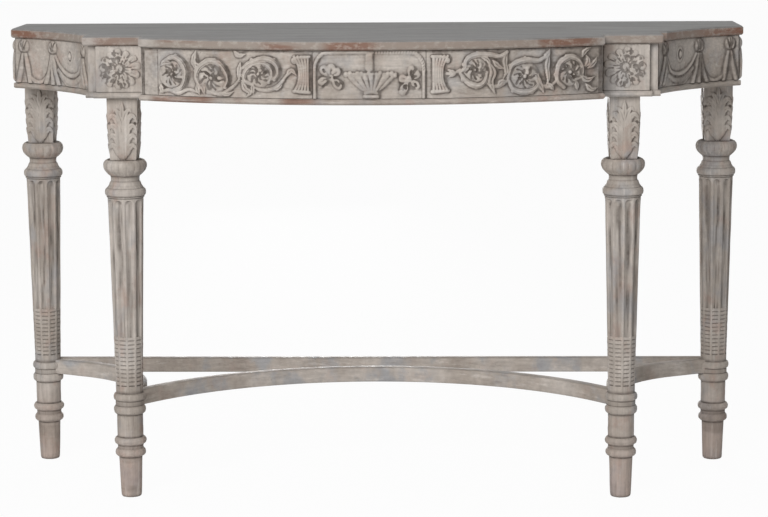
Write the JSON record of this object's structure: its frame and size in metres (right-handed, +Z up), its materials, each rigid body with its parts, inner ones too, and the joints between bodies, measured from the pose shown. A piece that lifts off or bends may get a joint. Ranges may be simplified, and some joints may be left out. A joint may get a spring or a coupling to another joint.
{
  "type": "pier table",
  "caption": "Breakfront pier table with a bowed carved frieze, hollow sides, fluted turned legs and low curved stretchers, in pale washed wood with a grey top.",
  "frame": {"origin": "on the floor under the middle of the table's box", "axes": "+X along the table to the viewer's right, +Y to the wall behind, +Z up"},
  "size_m": [1.46, 0.5999, 0.9],
  "materials": {
    "grey_top": "grey wash, matt, worn edge",
    "washed_wood": "pale grey-beige wash, distressed",
    "carved_wood": "pale wash with dark grime in the hollows",
    "bare_wood": "bare planed wood"
  },
  "bodies": {
    "root": {"top": "grey_top", "frieze_centre": "washed_wood", "bead_centre": "washed_wood", "back_rail": "washed_wood", "stretcher_back": "washed_wood", "stretcher_front": "washed_wood", "tablet": "carved_wood", "urn": "carved_wood", "frieze_cheek_left": "washed_wood", "frieze_cheek_right": "washed_wood", "corner_block_left": "washed_wood", "corner_block_right": "washed_wood", "plinth_left": "washed_wood", "plinth_right": "washed_wood", "frieze_side_left": "washed_wood", "frieze_side_right": "washed_wood", "bead_side_left": "washed_wood", "bead_side_right": "washed_wood", "frieze_end_left": "washed_wood", "frieze_end_right": "washed_wood", "bead_end_left": "washed_wood", "bead_end_right": "washed_wood", "rear_post_left": "washed_wood", "rear_post_right": "washed_wood", "stretcher_side_left": "washed_wood", "stretcher_side_right": "washed_wood", "cross_rail_left": "bare_wood", "cross_rail_right": "bare_wood", "scroll_panel_left": "carved_wood", "scroll_panel_right": "carved_wood", "spool_left": "carved_wood", "spool_right": "carved_wood", "rosette_left": "carved_wood", "rosette_right": "carved_wood", "swags_left": "carved_wood", "swags_right": "carved_wood", "leg_front_left": "washed_wood", "leg_front_right": "washed_wood", "leg_rear_left": "washed_wood", "leg_rear_right": "washed_wood", "leg_tenons": "bare_wood", "stretcher_tenons": "bare_wood", "glue_blocks": "bare_wood"}
  },
  "joints": []
}
